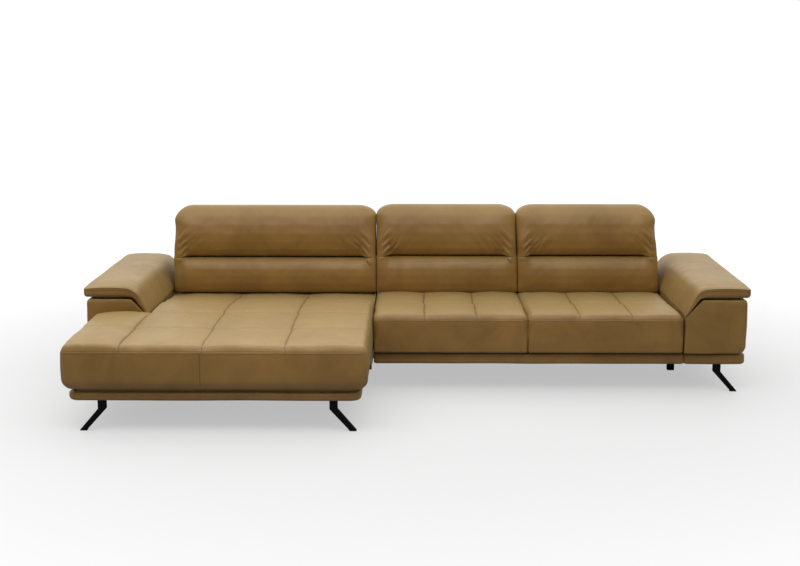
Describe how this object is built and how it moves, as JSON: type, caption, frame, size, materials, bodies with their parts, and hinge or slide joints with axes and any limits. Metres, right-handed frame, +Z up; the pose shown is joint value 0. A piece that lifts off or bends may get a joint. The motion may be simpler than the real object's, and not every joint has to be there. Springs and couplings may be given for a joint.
{
  "type": "corner sofa",
  "caption": "Low corner sofa with a chaise on one side, tufted seat cushions, slanted padded arms with thick caps and a row of headrests that tip forward.",
  "frame": {"origin": "On the floor under the middle of the sofa's bounding box.", "axes": "+X runs along the sofa towards the arm away from the chaise, +Y points to the back, +Z is up; the seats face -Y and the chaise is on the -X side."},
  "size_m": [3.4, 1.78, 0.883],
  "materials": {
    "seat_leather": "worn, waxed aniline leather, tan on top and brown on the sides",
    "back_leather": "worn, waxed aniline leather with a soft sheen",
    "arm_leather": "worn, waxed aniline leather with double stitching",
    "plinth_leather": "dark brown leather band, smooth",
    "panel_cloth": "brown leather panel, plain",
    "leg_metal": "black powder coat, satin",
    "felt": "black felt",
    "timber": "sawn softwood and plywood, unfinished",
    "steel": "zinc-plated steel",
    "webbing": "woven elastic webbing",
    "cover_cloth": "black non-woven lining cloth"
  },
  "bodies": {
    "root": {"center_back_frame": "timber", "center_back_webs": "webbing", "center_hinge_pins": "steel", "center_hinge_plates": "steel", "center_lumbar_cushion": "back_leather", "center_seat_cushion": "seat_leather", "center_seat_springs": "steel", "chaise_back_frame": "timber", "chaise_back_webs": "webbing", "chaise_base_frame": "timber", "chaise_hinge_pins": "steel", "chaise_hinge_plates": "steel", "chaise_left_leg": "leg_metal", "chaise_lumbar_cushion": "back_leather", "chaise_plinth": "plinth_leather", "chaise_rear_panel": "panel_cloth", "chaise_right_leg": "leg_metal", "chaise_seat_cushion": "seat_leather", "chaise_seat_springs": "steel", "chaise_support_post": "leg_metal", "dust_covers": "cover_cloth", "left_arm_body": "arm_leather", "left_arm_cap": "arm_leather", "left_arm_frame": "timber", "left_arm_plinth": "plinth_leather", "left_cap_batten": "timber", "left_rear_leg": "leg_metal", "leg_glides": "felt", "leg_studs": "steel", "middle_rear_leg": "leg_metal", "right_arm_body": "arm_leather", "right_arm_cap": "arm_leather", "right_arm_frame": "timber", "right_arm_leg": "leg_metal", "right_arm_plinth": "plinth_leather", "right_back_frame": "timber", "right_back_webs": "webbing", "right_cap_batten": "timber", "right_hinge_pins": "steel", "right_hinge_plates": "steel", "right_lumbar_cushion": "back_leather", "right_rear_leg": "leg_metal", "right_seat_cushion": "seat_leather", "right_seat_springs": "steel", "sofa_base_frame": "timber", "sofa_plinth": "plinth_leather", "sofa_rear_panel": "panel_cloth", "sofa_support_post": "leg_metal", "spring_clips": "steel", "unit_connectors": "steel"},
    "chaise_headrest": {"chaise_headrest_cushion": "back_leather", "chaise_headrest_frame": "timber", "chaise_hinge_arms": "steel"},
    "center_headrest": {"center_headrest_cushion": "back_leather", "center_headrest_frame": "timber", "center_hinge_arms": "steel"},
    "right_headrest": {"right_headrest_cushion": "back_leather", "right_headrest_frame": "timber", "right_hinge_arms": "steel"}
  },
  "joints": [
    {"name": "chaise_headrest_tilt", "type": "hinge", "parent": "root", "child": "chaise_headrest", "pos_m": [-0.796, 0.589, 0.6], "axis": [1, 0, 0], "range_deg": [0, 35]},
    {"name": "center_headrest_tilt", "type": "hinge", "parent": "root", "child": "center_headrest", "pos_m": [0.1745, 0.589, 0.6], "axis": [1, 0, 0], "range_deg": [0, 35]},
    {"name": "right_headrest_tilt", "type": "hinge", "parent": "root", "child": "right_headrest", "pos_m": [0.9705, 0.589, 0.6], "axis": [1, 0, 0], "range_deg": [0, 35]}
  ]
}
